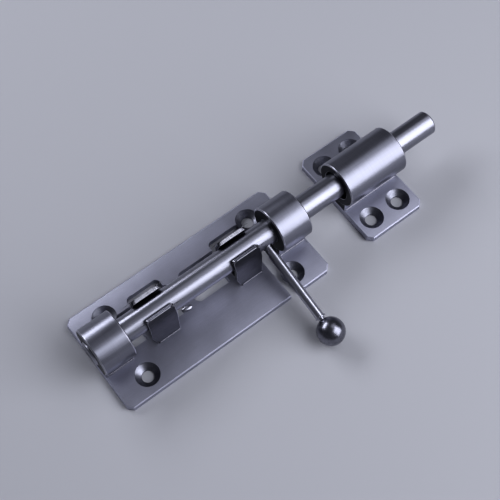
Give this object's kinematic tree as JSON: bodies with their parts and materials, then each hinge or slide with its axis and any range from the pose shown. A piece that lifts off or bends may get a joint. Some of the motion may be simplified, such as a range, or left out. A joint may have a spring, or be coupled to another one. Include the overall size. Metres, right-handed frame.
{
  "type": "toggle bolt latch",
  "caption": "Round sliding bolt in tube guides on a screwed plate, locked by a drop-down ball handle, with a separate tube keeper.",
  "frame": {"origin": "centre of the base plate's underside", "axes": "+X along the bolt towards its tip, +Y away from the hanging handle, +Z out of the door"},
  "size_m": [0.1715, 0.0752, 0.0273],
  "materials": {
    "plate_steel": "satin",
    "tube_steel": "satin polished",
    "saddle_steel": "satin",
    "bolt_steel": "satin polished",
    "stem_steel": "satin polished",
    "knob_steel": "polished"
  },
  "bodies": {
    "base": {"base_plate": "plate_steel", "rear_guide": "tube_steel", "front_guide": "tube_steel", "rear_saddle": "saddle_steel", "front_saddle": "saddle_steel"},
    "bolt": {"bolt_rod": "bolt_steel"},
    "handle": {"handle_stem": "stem_steel", "handle_collar": "stem_steel", "handle_knob": "knob_steel"},
    "keeper": {"keeper_plate": "plate_steel", "keeper_tube": "tube_steel"}
  },
  "joints": [
    {"name": "bolt_play", "type": "slide", "parent": "base", "child": "bolt", "axis": [1, 0, 0], "range_m": [-0.0023, 0.0024]},
    {"name": "handle_turn", "type": "hinge", "parent": "bolt", "child": "handle", "pos_m": [0.0312, 0, 0.017], "axis": [-1, 0, 0], "range_deg": [0, 206]},
    {"name": "keeper_off", "type": "slide", "parent": "base", "child": "keeper", "axis": [1, 0, 0], "range_m": [0, 0.056]}
  ]
}
